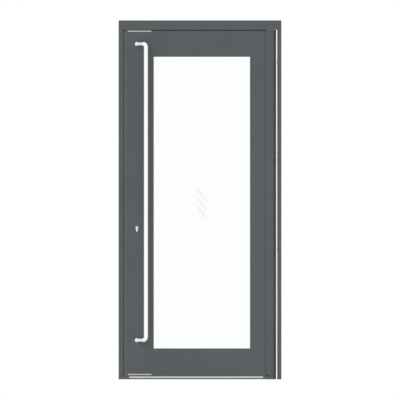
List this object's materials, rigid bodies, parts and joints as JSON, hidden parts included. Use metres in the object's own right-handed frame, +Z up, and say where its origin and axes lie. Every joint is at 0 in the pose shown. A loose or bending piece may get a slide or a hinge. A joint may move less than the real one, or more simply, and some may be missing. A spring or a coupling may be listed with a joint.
{
  "type": "commercial entrance door",
  "caption": "Flush glazed commercial entrance door in its frame, with a half-round pivot stile, long offset pull handles and a multi-point lock.",
  "frame": {"origin": "floor level, in the middle of the frame's width and depth", "axes": "+X to the hinge side, +Y into the building, away from the pull side, +Z up"},
  "size_m": [1, 0.202, 2.205],
  "materials": {
    "anthracite_paint": "satin",
    "anodised_aluminium": "satin",
    "stainless_handle": "satin",
    "nickel": "satin",
    "steel": "satin",
    "rubber": "matte",
    "brush_pile": "matte",
    "dark_plastic": "matte",
    "clear_glass": "gloss",
    "spacer_metal": "satin",
    "bronze": "satin"
  },
  "bodies": {
    "frame": {"head": "anthracite_paint", "lock_jamb": "anthracite_paint", "hinge_jamb": "anthracite_paint", "threshold": "anodised_aluminium", "threshold_end_blocks": "dark_plastic", "threshold_keep": "steel", "head_keep": "steel", "strike_plate": "steel", "strike_screws": "steel", "stop_gasket": "rubber", "jamb_spigots": "anodised_aluminium", "jamb_screws": "steel", "fixing_hole_caps": "dark_plastic", "closer_body": "steel", "closer_screws": "steel", "pivot_base": "anthracite_paint", "pivot_pin": "steel", "floor_screws": "steel"},
    "leaf": {"lock_stile": "anthracite_paint", "hinge_stile": "anthracite_paint", "round_stile": "anthracite_paint", "top_rail": "anthracite_paint", "bottom_rail": "anthracite_paint", "top_bead": "anthracite_paint", "bottom_bead": "anthracite_paint", "lock_side_bead": "anthracite_paint", "hinge_side_bead": "anthracite_paint", "top_pivot_shoe": "anthracite_paint", "faceplate": "anodised_aluminium", "top_guide_plate": "anodised_aluminium", "bottom_guide_plate": "anodised_aluminium", "bottom_pivot_shoe": "anodised_aluminium", "outer_pull_handle": "stainless_handle", "inner_pull_handle": "stainless_handle", "handle_roses": "stainless_handle", "cylinder_body": "nickel", "rail_screws": "steel", "handle_studs": "steel", "lock_case": "steel", "faceplate_screws": "steel", "cylinder_screw": "steel", "guide_plate_screws": "steel", "closer_spindle": "steel", "outer_glazing_gasket": "rubber", "inner_glazing_gasket": "rubber", "joining_spline": "rubber", "top_brush": "brush_pile", "bottom_brush": "brush_pile", "setting_blocks": "dark_plastic", "stile_end_plugs": "dark_plastic", "outer_pane": "clear_glass", "inner_pane": "clear_glass", "spacer_bar": "spacer_metal", "pivot_bush": "bronze"},
    "outer_key_plug": {"outer_plug": "nickel", "cylinder_cam": "steel"},
    "inner_key_plug": {"inner_plug": "nickel"},
    "bolt": {"deadbolt": "steel"},
    "upper_rod": {"top_rod": "steel"},
    "lower_rod": {"bottom_rod": "steel"}
  },
  "joints": [
    {"name": "leaf_swing", "type": "hinge", "parent": "frame", "child": "leaf", "pos_m": [0.435, 0, 0], "axis": [0, 0, 1], "range_deg": [0, 95], "stiffness_Nm_per_rad": 8, "springref_deg": -34.38},
    {"name": "key_turn", "type": "hinge", "parent": "leaf", "child": "outer_key_plug", "pos_m": [-0.388, 0.009, 0.932], "axis": [0, 1, 0], "range_deg": [0, 360]},
    {"name": "inner_key_turn", "type": "hinge", "parent": "leaf", "child": "inner_key_plug", "pos_m": [-0.388, 0.009, 0.932], "axis": [0, 1, 0], "range_deg": [0, 360]},
    {"name": "deadbolt_throw", "type": "slide", "parent": "leaf", "child": "bolt", "axis": [-1, 0, 0], "range_m": [0, 0.02]},
    {"name": "top_rod_throw", "type": "slide", "parent": "leaf", "child": "upper_rod", "axis": [0, 0, 1], "range_m": [0, 0.02]},
    {"name": "bottom_rod_throw", "type": "slide", "parent": "leaf", "child": "lower_rod", "axis": [0, 0, -1], "range_m": [0, 0.02]}
  ],
  "couplings": [
    {"joint": "key_turn", "follows": "deadbolt_throw", "rad_per_m": 314.16},
    {"joint": "top_rod_throw", "follows": "deadbolt_throw", "ratio": 1},
    {"joint": "bottom_rod_throw", "follows": "deadbolt_throw", "ratio": 1}
  ]
}
